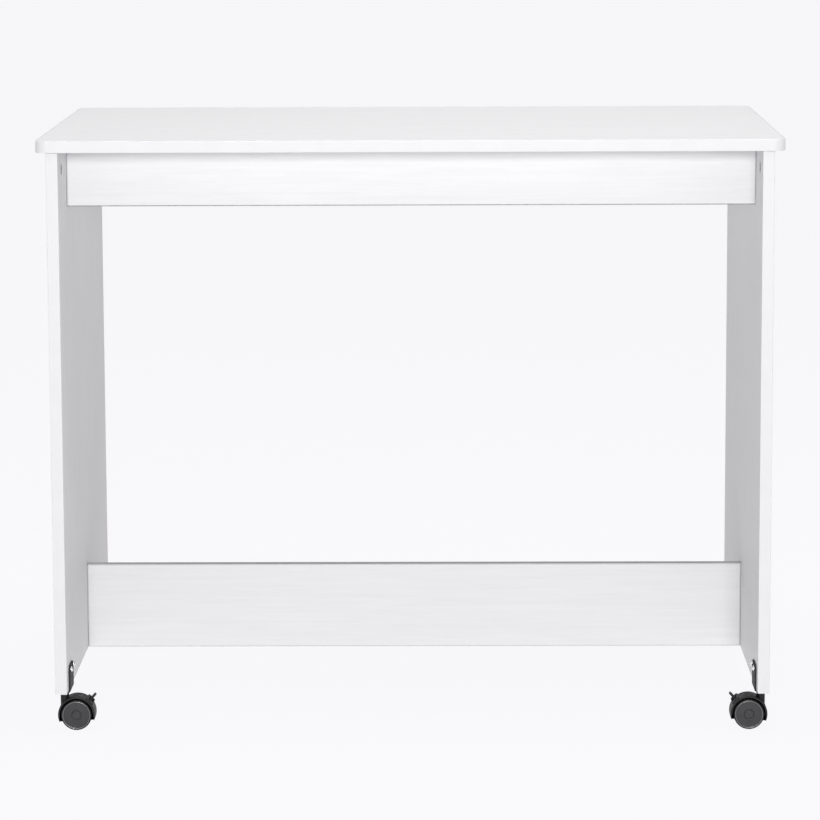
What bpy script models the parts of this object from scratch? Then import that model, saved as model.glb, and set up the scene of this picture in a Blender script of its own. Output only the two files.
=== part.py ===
"""A white sewing table: a board top on two side panels, an apron, a lower stretcher and four casters.

Metres, +Z up. The origin is on the floor under the middle of the top. The front faces -Y, and left is -X.
Each caster is mounted by a steel angle on the inner face of its side panel, so that its swivel axis runs
up through the middle of the panel's thickness. Boards are joined by cam locks and their bolts.
"""

import math

import bmesh
import bpy
from mathutils import Matrix, Vector

# Driving dimensions of the carcass.
TOP_WIDTH = 0.950
TOP_DEPTH = 0.600
TOP_HEIGHT = 0.770
BOARD = 0.015
TOP_CORNER_RADIUS = 0.015
SIDE_OVERHANG = 0.014
FRONT_OVERHANG = 0.002
PANEL_BOTTOM = 0.054
APRON_HEIGHT = 0.0780
APRON_SETBACK = 0.107
STRETCHER_HEIGHT = 0.115
EDGE_EASE = 0.0006
GAP = 0.0003

# Driving dimensions of the casters.
WHEEL_RADIUS = 0.020
WHEEL_WIDTH = 0.0112
WHEEL_SIDES = 24
TRAIL = 0.016
CASTER_SETBACK = 0.044
WEB_THICKNESS = 0.008
HOOD_INNER_RADIUS = 0.0212
HOOD_OUTER_RADIUS = 0.0240
HOOD_WIDTH = 0.028
STEM_RADIUS = 0.003
AXLE_RADIUS = 0.0025
RUNNING_GAP = 0.0001
LARGE_BORE_SIDES = 20
SMALL_BORE_SIDES = 8
PLATE = 0.002

# Driving dimensions of the cam locks, which sit this far inside the joint and from the panel's edges.
CAM_TO_JOINT = 0.024
CAM_SETBACK = 0.045
CAM_BORE_RADIUS = 0.0075
CAM_BORE_DEPTH = 0.0125
CAM_RECESS = 0.0010
THREAD_HOLE_DEPTH = 0.0110

PANEL_TOP = TOP_HEIGHT - BOARD - GAP
PANEL_X = TOP_WIDTH / 2 - SIDE_OVERHANG - BOARD / 2
PANEL_DEPTH = TOP_DEPTH - 2 * FRONT_OVERHANG
INNER_FACE = PANEL_X - BOARD / 2
RAIL_LENGTH = 2 * (INNER_FACE - GAP)
APRON_Y = -PANEL_DEPTH / 2 + APRON_SETBACK + BOARD / 2
APRON_BOTTOM = TOP_HEIGHT - BOARD - APRON_HEIGHT
STRETCHER_Y = 0.0
TOP_CAM_Y = PANEL_DEPTH / 2 - CAM_SETBACK
TOP_CAM_Z = TOP_HEIGHT - BOARD - CAM_TO_JOINT
APRON_CAM_Z = APRON_BOTTOM + APRON_HEIGHT / 2
STRETCHER_CAM_Z = [PANEL_BOTTOM + STRETCHER_HEIGHT * share for share in (0.25, 0.75)]
CASTER_Y = PANEL_DEPTH / 2 - CASTER_SETBACK

# Bores in the boards, each as radius, depth and number of sides.
CAM_BORE = (CAM_BORE_RADIUS, CAM_BORE_DEPTH, LARGE_BORE_SIDES)
BOLT_BORE = (0.004, CAM_TO_JOINT, SMALL_BORE_SIDES)
THREAD_BORE = (0.0027, THREAD_HOLE_DEPTH, SMALL_BORE_SIDES)
PILOT_BORE = (0.0021, 0.0125, SMALL_BORE_SIDES)

# Cam locks and their bolts.
CAM_FACE_EDGE = 0.0006
CAM_THROAT_RADIUS = 0.0036
BOLT_THREAD_RADIUS = 0.0024
BOLT_COLLAR_RADIUS = 0.0034
BOLT_SHANK_RADIUS = 0.0026
BOLT_NECK_RADIUS = 0.0015
BOLT_HEAD_RADIUS = 0.0030

WHEEL_INNER_Y = WEB_THICKNESS / 2 + 2 * GAP
FLANGE_TOP = PANEL_BOTTOM - GAP
FLANGE_BOTTOM = FLANGE_TOP - PLATE
COLLAR_BOTTOM = FLANGE_BOTTOM - GAP - 0.003
BOSS_TOP = COLLAR_BOTTOM - 0.0004
BOSS_BOTTOM = 0.0285
BOSS_RADIUS = 0.0055
COLLAR_RADIUS = 0.0060
SOCKET_BOTTOM = WHEEL_RADIUS + 0.002

# Side brackets and their screws.
BRACKET_WIDTH = 0.044
BRACKET_HEIGHT = 0.0325
BRACKET_CORNER = 0.007
BRACKET_BEND = 0.0025
FLANGE_REACH = 0.0065
SCREW_HEIGHT = 0.0275
SCREW_SPREAD = 0.015
SCREW_RADIUS = 0.0018
SCREW_HOLE_RADIUS = 0.0022
PLATE_X = BOARD / 2 + GAP

# Brake levers, at this angle above the axle and turning at this distance from it.
LEVER_ANGLE = math.radians(46)
LEVER_PIVOT_RADIUS = 0.0240
LEVER_WIDTH = 0.020
LEVER_HUB_RADIUS = 0.0021
LEVER_REACH = 0.0115
TAB_WIDTH = 0.008
TAB_THICKNESS = 0.0026
SHOE_REACH = 0.0044
SHOE_ANGLE = -120
SHOE_TIP_RADIUS = 0.0006
TRUNNION_RADIUS = 0.0010
TRUNNION_HALF_LENGTH = 0.0120

SMOOTH_ANGLE = 35
UP_IS_Y = Matrix.Rotation(math.radians(-90), 4, "X")
UP_IS_X = Matrix.Rotation(math.radians(90), 4, "Y")


def clear_scene():
    for obj in list(bpy.data.objects):
        bpy.data.objects.remove(obj, do_unlink=True)


def make_material(name, color, roughness, metallic=0.0):
    material = bpy.data.materials.new(name)
    material.use_nodes = True
    shader = material.node_tree.nodes["Principled BSDF"]
    shader.inputs["Base Color"].default_value = (*color, 1.0)
    shader.inputs["Roughness"].default_value = roughness
    shader.inputs["Metallic"].default_value = metallic
    return material


def finished_mesh(bm, name):
    bmesh.ops.recalc_face_normals(bm, faces=bm.faces)
    mesh = bpy.data.meshes.new(name)
    bm.to_mesh(mesh)
    bm.free()
    mesh.shade_smooth()
    mesh.set_sharp_from_angle(angle=math.radians(SMOOTH_ANGLE))
    return mesh


def box_mesh(name, low, high):
    """A box between two opposite corners."""
    bm = bmesh.new()
    bmesh.ops.create_cube(bm, size=1.0)
    size = [h - l for l, h in zip(low, high)]
    middle = [(l + h) / 2 for l, h in zip(low, high)]
    bmesh.ops.scale(bm, vec=size, verts=bm.verts)
    bmesh.ops.translate(bm, vec=middle, verts=bm.verts)
    return finished_mesh(bm, name)


def prism_mesh(name, outline, width):
    """An outline of (x, z) points, extruded along Y to this width with y = 0 in its middle."""
    bm = bmesh.new()
    corners = [bm.verts.new((x, -width / 2, z)) for x, z in outline]
    face = bm.faces.new(corners)
    made = bmesh.ops.extrude_face_region(bm, geom=[face])
    moved = [item for item in made["geom"] if isinstance(item, bmesh.types.BMVert)]
    bmesh.ops.translate(bm, vec=(0, width, 0), verts=moved)
    return finished_mesh(bm, name)


def turned_mesh(name, profile, sides, turn=0.0):
    """A profile of (radius, height) points, spun round Z. It starts and ends on the axis, or it closes."""
    bm = bmesh.new()
    start = Matrix.Rotation(turn, 4, "Z")
    points = [bm.verts.new(start @ Vector((radius, 0, height))) for radius, height in profile]
    edges = [bm.edges.new(pair) for pair in zip(points, points[1:])]
    if profile[0][0] > 0:
        edges.append(bm.edges.new((points[-1], points[0])))
    bmesh.ops.spin(
        bm, geom=points + edges, cent=(0, 0, 0), axis=(0, 0, 1), angle=math.tau, steps=sides, use_merge=True
    )
    bmesh.ops.remove_doubles(bm, verts=bm.verts, dist=1e-6)
    return finished_mesh(bm, name)


def arc(radius, first, last, steps, centre=(0.0, 0.0)):
    """Points along an arc in the XZ plane, from one angle to another in degrees."""
    points = []
    for step in range(steps + 1):
        angle = math.radians(first + (last - first) * step / steps)
        points.append((centre[0] + radius * math.cos(angle), centre[1] + radius * math.sin(angle)))
    return points


def rod_profile(radius, low, high):
    return [(0, low), (radius, low), (radius, high), (0, high)]


def place(name, mesh, material=None, matrix=None, parent=None):
    obj = bpy.data.objects.new(name, mesh)
    bpy.context.scene.collection.objects.link(obj)
    if parent:
        obj.parent = parent
    obj.matrix_local = matrix or Matrix.Identity(4)
    if material and not mesh.materials:
        mesh.materials.append(material)
    return obj


def place_tool(name, mesh, matrix=None):
    """A cutter or a piece to be joined, which isn't part of the table itself."""
    tool = place(name, mesh, None, matrix)
    tool.hide_render = True
    tool.display_type = "WIRE"
    return tool


def combine(obj, tool, operation):
    modifier = obj.modifiers.new(operation.title() + "_" + tool.name, "BOOLEAN")
    modifier.operation = operation
    modifier.solver = "EXACT"
    modifier.object = tool


def settled_mesh(obj):
    """The object's shape with its modifiers applied, as one mesh that several objects can share."""
    bpy.context.view_layer.update()
    graph = bpy.context.evaluated_depsgraph_get()
    mesh = bpy.data.meshes.new_from_object(obj.evaluated_get(graph))
    mesh.name = obj.name
    mesh.shade_smooth()
    mesh.set_sharp_from_angle(angle=math.radians(SMOOTH_ANGLE))
    tools = [modifier.object for modifier in obj.modifiers]
    for used in [obj] + tools:
        bpy.data.objects.remove(used, do_unlink=True)
    return mesh


def ease_edges(obj):
    bevel = obj.modifiers.new("Eased_edges", "BEVEL")
    bevel.width = EDGE_EASE
    bevel.segments = 1
    bevel.limit_method = "ANGLE"
    bevel.angle_limit = math.radians(60)


def drill(board, bore, holes):
    """Cuts round holes of one bore, which is (radius, depth, sides). Each hole's Z runs into the board."""
    radius, depth, sides = bore
    overrun = 0.001
    for number, matrix in enumerate(holes, len(board.modifiers)):
        drill_name = f"drill_{board.name}_{number}"
        mesh = turned_mesh(drill_name, rod_profile(radius, -overrun, depth), sides)
        combine(board, place_tool(drill_name, mesh, matrix), "DIFFERENCE")


def into_x(x, y, z, way):
    """A drilling direction from this point along +X or -X."""
    return Matrix.Translation((x, y, z)) @ Matrix.Rotation(math.radians(90 * way), 4, "Y")


def into_y(x, y, z, way):
    """A drilling direction from this point along +Y or -Y."""
    return Matrix.Translation((x, y, z)) @ Matrix.Rotation(math.radians(-90 * way), 4, "X")


def into_z(x, y, z, way):
    """A drilling direction from this point along +Z or -Z."""
    return Matrix.Translation((x, y, z)) @ Matrix.Rotation(0 if way > 0 else math.pi, 4, "X")


def make_tabletop(board_material):
    bm = bmesh.new()
    bmesh.ops.create_cube(bm, size=1.0)
    bmesh.ops.scale(bm, vec=(TOP_WIDTH, TOP_DEPTH, BOARD), verts=bm.verts)
    bmesh.ops.translate(bm, vec=(0, 0, TOP_HEIGHT - BOARD / 2), verts=bm.verts)
    upright = [edge for edge in bm.edges if abs(edge.verts[0].co.z - edge.verts[1].co.z) > BOARD / 2]
    bmesh.ops.bevel(bm, geom=upright, offset=TOP_CORNER_RADIUS, segments=6, profile=0.5, affect="EDGES")
    top = place("tabletop", finished_mesh(bm, "tabletop"), board_material)
    ease_edges(top)
    joints = [(side * PANEL_X, end * TOP_CAM_Y) for side in (-1, 1) for end in (-1, 1)]
    drill(top, THREAD_BORE, [into_z(x, y, TOP_HEIGHT - BOARD, 1) for x, y in joints])


def make_side_panel(name, side, board_material):
    low = (side * PANEL_X - BOARD / 2, -PANEL_DEPTH / 2, PANEL_BOTTOM)
    high = (side * PANEL_X + BOARD / 2, PANEL_DEPTH / 2, PANEL_TOP)
    panel = place(name, box_mesh(name, low, high), board_material)
    ease_edges(panel)
    face_x = side * INNER_FACE
    ends = (-TOP_CAM_Y, TOP_CAM_Y)
    drill(panel, CAM_BORE, [into_x(face_x, y, TOP_CAM_Z, side) for y in ends])
    drill(panel, BOLT_BORE, [into_z(side * PANEL_X, y, PANEL_TOP, -1) for y in ends])
    rail_joints = [(APRON_Y, APRON_CAM_Z)] + [(STRETCHER_Y, height) for height in STRETCHER_CAM_Z]
    drill(panel, THREAD_BORE, [into_x(face_x, y, z, side) for y, z in rail_joints])
    screws = [end * CASTER_Y + across * SCREW_SPREAD for end in (-1, 1) for across in (-1, 1)]
    drill(panel, PILOT_BORE, [into_x(face_x, y, PANEL_BOTTOM + SCREW_HEIGHT, side) for y in screws])


def make_rail(name, middle_y, bottom, top, cam_heights, board_material):
    """A board between the side panels, with its cam locks in its rear face."""
    low = (-RAIL_LENGTH / 2, middle_y - BOARD / 2, bottom)
    high = (RAIL_LENGTH / 2, middle_y + BOARD / 2, top)
    rail = place(name, box_mesh(name, low, high), board_material)
    ease_edges(rail)
    joints = [(side, height) for side in (-1, 1) for height in cam_heights]
    rear_y = middle_y + BOARD / 2
    cam_x = INNER_FACE - CAM_TO_JOINT
    drill(rail, CAM_BORE, [into_y(side * cam_x, rear_y, height, -1) for side, height in joints])
    end_x = RAIL_LENGTH / 2
    drill(rail, BOLT_BORE, [into_x(side * end_x, middle_y, height, -side) for side, height in joints])


def cam_lock_mesh():
    """A cam disc. Its Z runs into the board from the board's face, and its bolt comes in along +X."""
    radius = CAM_BORE_RADIUS - GAP
    low = CAM_RECESS
    high = CAM_BORE_DEPTH - GAP
    edge = CAM_FACE_EDGE
    profile = [(0, low), (radius - edge, low), (radius, low + edge), (radius, high), (0, high)]
    cam = place("cam_lock", turned_mesh("cam_lock", profile, LARGE_BORE_SIDES))
    bolt_way = Matrix.Translation((0, 0, BOARD / 2)) @ UP_IS_X
    past_middle = -0.0022
    throat_profile = rod_profile(CAM_THROAT_RADIUS, past_middle, CAM_BORE_RADIUS + GAP)
    throat = turned_mesh("cam_throat", throat_profile, SMALL_BORE_SIDES)
    combine(cam, place_tool("cam_throat", throat, bolt_way), "DIFFERENCE")
    return settled_mesh(cam)


def cam_bolt_mesh():
    """A cam bolt. Z = 0 is the joint's plane, and +Z runs towards the middle of the cam."""
    thread_end = -THREAD_HOLE_DEPTH + GAP
    collar_end = GAP + 0.0012
    head_end = CAM_TO_JOINT + 0.0012
    head_start = head_end - 0.0020
    neck_start = head_start - 0.0032
    profile = [
        (0, thread_end),
        (BOLT_THREAD_RADIUS - 0.0010, thread_end),
        (BOLT_THREAD_RADIUS, thread_end + 0.0015),
        (BOLT_THREAD_RADIUS, GAP),
        (BOLT_COLLAR_RADIUS, GAP),
        (BOLT_COLLAR_RADIUS, collar_end),
        (BOLT_SHANK_RADIUS, collar_end),
        (BOLT_SHANK_RADIUS, neck_start - 0.0008),
        (BOLT_NECK_RADIUS, neck_start),
        (BOLT_NECK_RADIUS, head_start - 0.0006),
        (BOLT_HEAD_RADIUS, head_start),
        (BOLT_HEAD_RADIUS, head_end),
        (0, head_end),
    ]
    return turned_mesh("cam_bolt", profile, SMALL_BORE_SIDES)


def make_cam_joint(suffix, cam_mesh, bolt_mesh, cam_matrix, bolt_matrix, cam_material, bolt_material):
    place("cam_lock_" + suffix, cam_mesh, cam_material, cam_matrix)
    place("cam_bolt_" + suffix, bolt_mesh, bolt_material, bolt_matrix)


def facing(origin, into, towards_bolt):
    """A frame whose Z runs into the board and whose X runs towards the bolt."""
    across = into.cross(towards_bolt)
    turn = Matrix((towards_bolt, across, into)).transposed().to_4x4()
    return Matrix.Translation(origin) @ turn


def make_cam_joints(cam_material, bolt_material):
    cam = cam_lock_mesh()
    bolt = cam_bolt_mesh()
    axes = Matrix.Identity(3)
    x_axis, y_axis, z_axis = axes.col[0], axes.col[1], axes.col[2]
    for side_name, side in (("left", -1), ("right", 1)):
        out = side * x_axis
        for end_name, end in (("front", -1), ("rear", 1)):
            cam_at = (side * INNER_FACE, end * TOP_CAM_Y, TOP_CAM_Z)
            bolt_at = into_z(side * PANEL_X, end * TOP_CAM_Y, TOP_HEIGHT - BOARD, -1)
            make_cam_joint(
                f"top_{end_name}_{side_name}", cam, bolt, facing(cam_at, out, z_axis), bolt_at,
                cam_material, bolt_material,
            )
        rails = [(f"apron_{side_name}", APRON_Y, APRON_CAM_Z)]
        for level_name, height in zip(("lower", "upper"), STRETCHER_CAM_Z):
            rails.append((f"stretcher_{level_name}_{side_name}", STRETCHER_Y, height))
        for suffix, middle_y, height in rails:
            cam_at = (side * (INNER_FACE - CAM_TO_JOINT), middle_y + BOARD / 2, height)
            bolt_at = into_x(side * INNER_FACE, middle_y, height, -side)
            make_cam_joint(
                suffix, cam, bolt, facing(cam_at, -y_axis, out), bolt_at, cam_material, bolt_material
            )


# The caster's own frame has its swivel axis along Z, z = 0 on the floor, and the axle ahead along +X.


def axle_place():
    return Matrix.Translation((TRAIL, 0, WHEEL_RADIUS))


def bracket_mesh():
    """A steel angle: a plate on the panel's inner face and a flange under the panel's lower edge."""
    top = FLANGE_TOP + BRACKET_HEIGHT
    plate_back = PLATE_X + PLATE
    bend_centre = (plate_back - BRACKET_BEND, FLANGE_BOTTOM + BRACKET_BEND)
    outline = [(-FLANGE_REACH, FLANGE_BOTTOM)]
    outline += arc(BRACKET_BEND, -90, 0, 4, bend_centre)
    outline += [(plate_back, top), (PLATE_X, top), (PLATE_X, FLANGE_TOP), (-FLANGE_REACH, FLANGE_TOP)]
    bracket = place("bracket", prism_mesh("bracket", outline, BRACKET_WIDTH))
    bm = bmesh.new()
    bm.from_mesh(bracket.data)
    upper = [
        edge for edge in bm.edges
        if all(vert.co.z > top - GAP for vert in edge.verts)
        and abs(edge.verts[0].co.x - edge.verts[1].co.x) > PLATE / 2
    ]
    bmesh.ops.bevel(bm, geom=upper, offset=BRACKET_CORNER, segments=5, profile=0.5, affect="EDGES")
    bm.to_mesh(bracket.data)
    bm.free()
    stem_hole = turned_mesh("stem_hole", rod_profile(STEM_RADIUS + GAP, -PLATE, PLATE), LARGE_BORE_SIDES)
    hole_at = Matrix.Translation((0, 0, FLANGE_BOTTOM + PLATE / 2))
    combine(bracket, place_tool("stem_hole", stem_hole, hole_at), "DIFFERENCE")
    for across in (-1, 1):
        hole_profile = rod_profile(SCREW_HOLE_RADIUS, -PLATE, PLATE)
        screw_hole = turned_mesh("screw_hole", hole_profile, SMALL_BORE_SIDES)
        hole_at = into_x(PLATE_X + PLATE / 2, across * SCREW_SPREAD, PANEL_BOTTOM + SCREW_HEIGHT, 1)
        combine(bracket, place_tool(f"screw_hole_{across}", screw_hole, hole_at), "DIFFERENCE")
    return settled_mesh(bracket)


def bracket_screw_mesh():
    """A pan-head screw. Z = 0 is the underside of its head, and its shank runs down -Z."""
    tip = -PLATE - 0.0105
    shank = [(0, tip), (SCREW_RADIUS, tip + 0.003), (SCREW_RADIUS, 0)]
    head = [(0.0037, 0), (0.0037, 0.0010), (0.0026, 0.0024), (0, 0.0027)]
    return turned_mesh("bracket_screw", shank + head, SMALL_BORE_SIDES)


def king_pin_mesh():
    profile = [
        (0, SOCKET_BOTTOM + GAP),
        (STEM_RADIUS - 0.0006, SOCKET_BOTTOM + GAP),
        (STEM_RADIUS, SOCKET_BOTTOM + 0.0012),
        (STEM_RADIUS, COLLAR_BOTTOM),
        (COLLAR_RADIUS, COLLAR_BOTTOM),
        (COLLAR_RADIUS, FLANGE_BOTTOM - GAP),
        (STEM_RADIUS, FLANGE_BOTTOM - GAP),
        (STEM_RADIUS, FLANGE_TOP),
        (0, FLANGE_TOP),
    ]
    return turned_mesh("king_pin", profile, LARGE_BORE_SIDES)


def hood_outline():
    """A C-shaped shell over the wheels' treads, round the axle, with a pointed tip at each end."""
    outer = arc(HOOD_OUTER_RADIUS, -14, 200, 17)
    inner = arc(HOOD_INNER_RADIUS, 190, -3, 17)
    return outer + inner


def web_outline():
    """The plate between the two wheels, which carries the axle."""
    overlap = 0.0006
    upper = arc(HOOD_INNER_RADIUS + overlap, 0, 180, 12)
    return upper + [(-0.013, -0.004), (-0.006, -0.0085), (0.006, -0.0085), (0.013, -0.004)]


def lug_outline():
    """The thicker part of the shell that holds the brake lever's trunnions."""
    middle = math.degrees(LEVER_ANGLE)
    return arc(0.0264, middle - 13, middle + 10, 4) + arc(0.0234, middle + 14, middle - 17, 5)


def boss_mesh():
    """The round boss for the king pin. Below the shell it is cut flat on both sides, clear of the wheels."""
    profile = rod_profile(BOSS_RADIUS, BOSS_BOTTOM, BOSS_TOP)
    boss = place("boss", turned_mesh("boss", profile, 24, turn=0.06))
    for way in (-1, 1):
        room = turned_mesh("wheel_room", rod_profile(HOOD_INNER_RADIUS + 0.001, 0, WHEEL_WIDTH), 32)
        room_at = axle_place() @ into_y(0, way * (WHEEL_INNER_Y - GAP), 0, way)
        combine(boss, place_tool(f"wheel_room_{way}", room, room_at), "DIFFERENCE")
    return settled_mesh(boss)


def hood_mesh(with_brake):
    """The caster's housing. Its own origin is on the swivel axis at floor level."""
    name = "hood_with_lever_slot" if with_brake else "hood"
    axle = axle_place()
    hood = place(name, prism_mesh(name, hood_outline(), HOOD_WIDTH), None, axle)
    combine(hood, place_tool("hood_web", prism_mesh("web", web_outline(), WEB_THICKNESS), axle), "UNION")
    combine(hood, place_tool("hood_boss", boss_mesh()), "UNION")
    if with_brake:
        lugs = prism_mesh("lugs", lug_outline(), HOOD_WIDTH - 2 * GAP)
        combine(hood, place_tool("hood_lugs", lugs, axle), "UNION")
        slot = box_mesh(
            "slot", (0.0196, -LEVER_WIDTH / 2 - GAP, -0.0048), (0.030, LEVER_WIDTH / 2 + GAP, 0.0030)
        )
        slot_at = axle @ Matrix.Rotation(-LEVER_ANGLE, 4, "Y")
        combine(hood, place_tool("hood_slot", slot, slot_at), "DIFFERENCE")
        pivot_at = axle @ lever_pivot() @ UP_IS_Y
        bearing_end = TRUNNION_HALF_LENGTH + 2 * GAP
        bearing_profile = rod_profile(TRUNNION_RADIUS + RUNNING_GAP, -bearing_end, bearing_end)
        bearing = turned_mesh("bearing", bearing_profile, LARGE_BORE_SIDES)
        combine(hood, place_tool("hood_bearing", bearing, pivot_at), "DIFFERENCE")
    socket_profile = rod_profile(STEM_RADIUS + RUNNING_GAP, SOCKET_BOTTOM, PANEL_BOTTOM)
    socket = turned_mesh("socket", socket_profile, LARGE_BORE_SIDES, turn=0.11)
    combine(hood, place_tool("hood_socket", socket), "DIFFERENCE")
    axle_profile = rod_profile(AXLE_RADIUS + RUNNING_GAP, -WEB_THICKNESS, WEB_THICKNESS)
    axle_hole = turned_mesh("axle_hole", axle_profile, LARGE_BORE_SIDES)
    combine(hood, place_tool("hood_axle_hole", axle_hole, axle @ UP_IS_Y), "DIFFERENCE")
    mesh = settled_mesh(hood)
    mesh.transform(axle)
    return mesh


def lever_pivot():
    """Where the brake lever turns, measured from the axle."""
    return Matrix.Translation((
        LEVER_PIVOT_RADIUS * math.cos(LEVER_ANGLE), 0, LEVER_PIVOT_RADIUS * math.sin(LEVER_ANGLE)
    ))


def brake_lever_mesh():
    """A thumb tab and a brake shoe on one moulding. Its origin is its pivot, and the tab points along +X."""
    tip_x, tip_z = arc(SHOE_REACH - SHOE_TIP_RADIUS, SHOE_ANGLE, SHOE_ANGLE, 1)[0]
    shoe = arc(LEVER_HUB_RADIUS, 180, -40, 9)
    shoe += arc(SHOE_TIP_RADIUS, SHOE_ANGLE + 70, SHOE_ANGLE - 70, 4, (tip_x, tip_z))
    lever = place("brake_lever", prism_mesh("brake_lever", shoe, LEVER_WIDTH))
    half = TAB_THICKNESS / 2
    tab_outline = [
        (0, half), (LEVER_REACH, half + 0.0002), (LEVER_REACH, -half + 0.0006), (0, -half),
    ]
    combine(lever, place_tool("lever_tab", prism_mesh("lever_tab", tab_outline, TAB_WIDTH)), "UNION")
    trunnion_profile = rod_profile(TRUNNION_RADIUS, -TRUNNION_HALF_LENGTH, TRUNNION_HALF_LENGTH)
    trunnion = turned_mesh("trunnion", trunnion_profile, 12)
    combine(lever, place_tool("lever_trunnion", trunnion, UP_IS_Y), "UNION")
    return settled_mesh(lever)


def axle_mesh():
    half = WHEEL_INNER_Y + WHEEL_WIDTH - 0.0020
    return turned_mesh("axle", rod_profile(AXLE_RADIUS, -half, half), LARGE_BORE_SIDES)


def wheel_mesh():
    """A dished wheel. Z = 0 is its open inner side, and a flat of its tread faces down when it stands."""
    tread = WHEEL_RADIUS / math.cos(math.pi / WHEEL_SIDES)
    bore = AXLE_RADIUS + RUNNING_GAP
    face = WHEEL_WIDTH
    bore_end = face - 0.0016
    dish = face - 0.0022
    profile = [
        (0, bore_end),
        (bore, bore_end),
        (bore, GAP),
        (0.0046, GAP),
        (0.0050, dish),
        (0.0160, dish),
        (0.0164, 0),
        (tread, 0),
        (tread, face - 0.0016),
        (0.0180, face),
        (0, face),
    ]
    return turned_mesh("wheel", profile, WHEEL_SIDES, turn=math.pi / WHEEL_SIDES)


def make_caster(corner, side, end, meshes, materials):
    """One caster with its bracket. A right-hand caster is a left-hand one turned half round its swivel."""
    swivel = bpy.data.objects.new("swivel_" + corner, None)
    bpy.context.scene.collection.objects.link(swivel)
    half_turn = Matrix.Rotation(0 if side < 0 else math.pi, 4, "Z")
    swivel.matrix_local = Matrix.Translation((side * PANEL_X, end * CASTER_Y, 0)) @ half_turn
    place("bracket_" + corner, meshes["bracket"], materials["bracket"], parent=swivel)
    place("king_pin_" + corner, meshes["king_pin"], materials["steel"], parent=swivel)
    for screw_name, across in (("front", -1), ("rear", 1)):
        head_at = into_x(
            PLATE_X + PLATE + GAP, across * -side * SCREW_SPREAD, PANEL_BOTTOM + SCREW_HEIGHT, 1
        )
        place(f"bracket_screw_{screw_name}_{corner}", meshes["screw"], materials["screw"], head_at, swivel)
    braked = end < 0
    hood = meshes["braked_hood"] if braked else meshes["hood"]
    place("caster_hood_" + corner, hood, materials["hood"], parent=swivel)
    axle = axle_place()
    place("axle_" + corner, meshes["axle"], materials["steel"], axle @ UP_IS_Y, swivel)
    for wheel_name, way in (("front", side), ("rear", -side)):
        wheel_at = axle @ into_y(0, way * WHEEL_INNER_Y, 0, way)
        place(f"wheel_{wheel_name}_{corner}", meshes["wheel"], materials["wheel"], wheel_at, swivel)
    if braked:
        lever_at = axle @ lever_pivot() @ Matrix.Rotation(-LEVER_ANGLE, 4, "Y")
        place("brake_lever_" + corner, meshes["lever"], materials["lever"], lever_at, swivel)


def main():
    clear_scene()
    white_board = make_material("white_board", (0.83, 0.83, 0.84), 0.45)
    zinc = make_material("zinc_cam", (0.55, 0.56, 0.57), 0.40, 1.0)
    materials = {
        "steel": make_material("bright_steel", (0.60, 0.60, 0.61), 0.30, 1.0),
        "screw": make_material("chrome_screw", (0.85, 0.85, 0.86), 0.12, 1.0),
        "bracket": make_material("dark_bracket", (0.10, 0.10, 0.105), 0.35, 1.0),
        "hood": make_material("black_hood", (0.018, 0.018, 0.020), 0.42),
        "wheel": make_material("charcoal_wheel", (0.050, 0.050, 0.054), 0.45),
        "lever": make_material("black_lever", (0.020, 0.020, 0.022), 0.40),
    }
    make_tabletop(white_board)
    make_side_panel("side_panel_left", -1, white_board)
    make_side_panel("side_panel_right", 1, white_board)
    make_rail("apron", APRON_Y, APRON_BOTTOM, PANEL_TOP, [APRON_CAM_Z], white_board)
    stretcher_top = PANEL_BOTTOM + STRETCHER_HEIGHT
    make_rail("lower_stretcher", STRETCHER_Y, PANEL_BOTTOM, stretcher_top, STRETCHER_CAM_Z, white_board)
    make_cam_joints(zinc, materials["steel"])
    meshes = {
        "bracket": bracket_mesh(),
        "screw": bracket_screw_mesh(),
        "king_pin": king_pin_mesh(),
        "hood": hood_mesh(with_brake=False),
        "braked_hood": hood_mesh(with_brake=True),
        "axle": axle_mesh(),
        "wheel": wheel_mesh(),
        "lever": brake_lever_mesh(),
    }
    for side_name, side in (("left", -1), ("right", 1)):
        for end_name, end in (("front", -1), ("rear", 1)):
            make_caster(f"{end_name}_{side_name}", side, end, meshes, materials)


main()
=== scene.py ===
"""The looks of the sewing table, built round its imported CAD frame.

Metres, +Z up, front = -Y, left = -X. Boards, cam locks, brackets, screws and casters are rebuilt here with
rounded edges and their own procedural materials, each in the place of the CAD node that it stands for.
"""

import math

import bmesh
import bpy
from mathutils import Matrix, Vector


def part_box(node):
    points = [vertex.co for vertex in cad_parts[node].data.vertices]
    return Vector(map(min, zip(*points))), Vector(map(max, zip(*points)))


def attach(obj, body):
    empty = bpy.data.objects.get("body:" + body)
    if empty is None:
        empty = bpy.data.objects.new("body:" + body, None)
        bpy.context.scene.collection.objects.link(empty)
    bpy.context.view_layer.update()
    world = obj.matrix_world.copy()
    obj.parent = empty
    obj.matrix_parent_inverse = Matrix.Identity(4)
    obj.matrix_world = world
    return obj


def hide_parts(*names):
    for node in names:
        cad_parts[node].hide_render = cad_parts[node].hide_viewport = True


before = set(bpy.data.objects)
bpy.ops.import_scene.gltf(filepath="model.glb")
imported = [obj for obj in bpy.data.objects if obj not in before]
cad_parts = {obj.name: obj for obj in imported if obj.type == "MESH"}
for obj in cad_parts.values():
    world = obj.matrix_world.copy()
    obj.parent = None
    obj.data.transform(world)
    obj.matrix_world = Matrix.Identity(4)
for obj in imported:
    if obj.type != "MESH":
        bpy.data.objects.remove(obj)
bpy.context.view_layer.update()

SIDES = {"left": -1, "right": 1}
ENDS = {"front": -1, "rear": 1}
SMOOTH_ANGLE = math.radians(32)
GAP = 0.0003
FINE_SIDES = 96
SMALL_SIDES = 40

# Boards: the band along their edges, the glue line beside it, and the cam locks' bores.
EDGE_ROUND = 0.0007
BAND = 0.0009
GLUE_LINE = 0.00018
GLUE_DEPTH = 0.00005
# How high the painted shade along the apron's lower edge reaches.
PAINTED_SHADE_RISE = 0.0016
CORNER_RADIUS = 0.015

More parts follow.
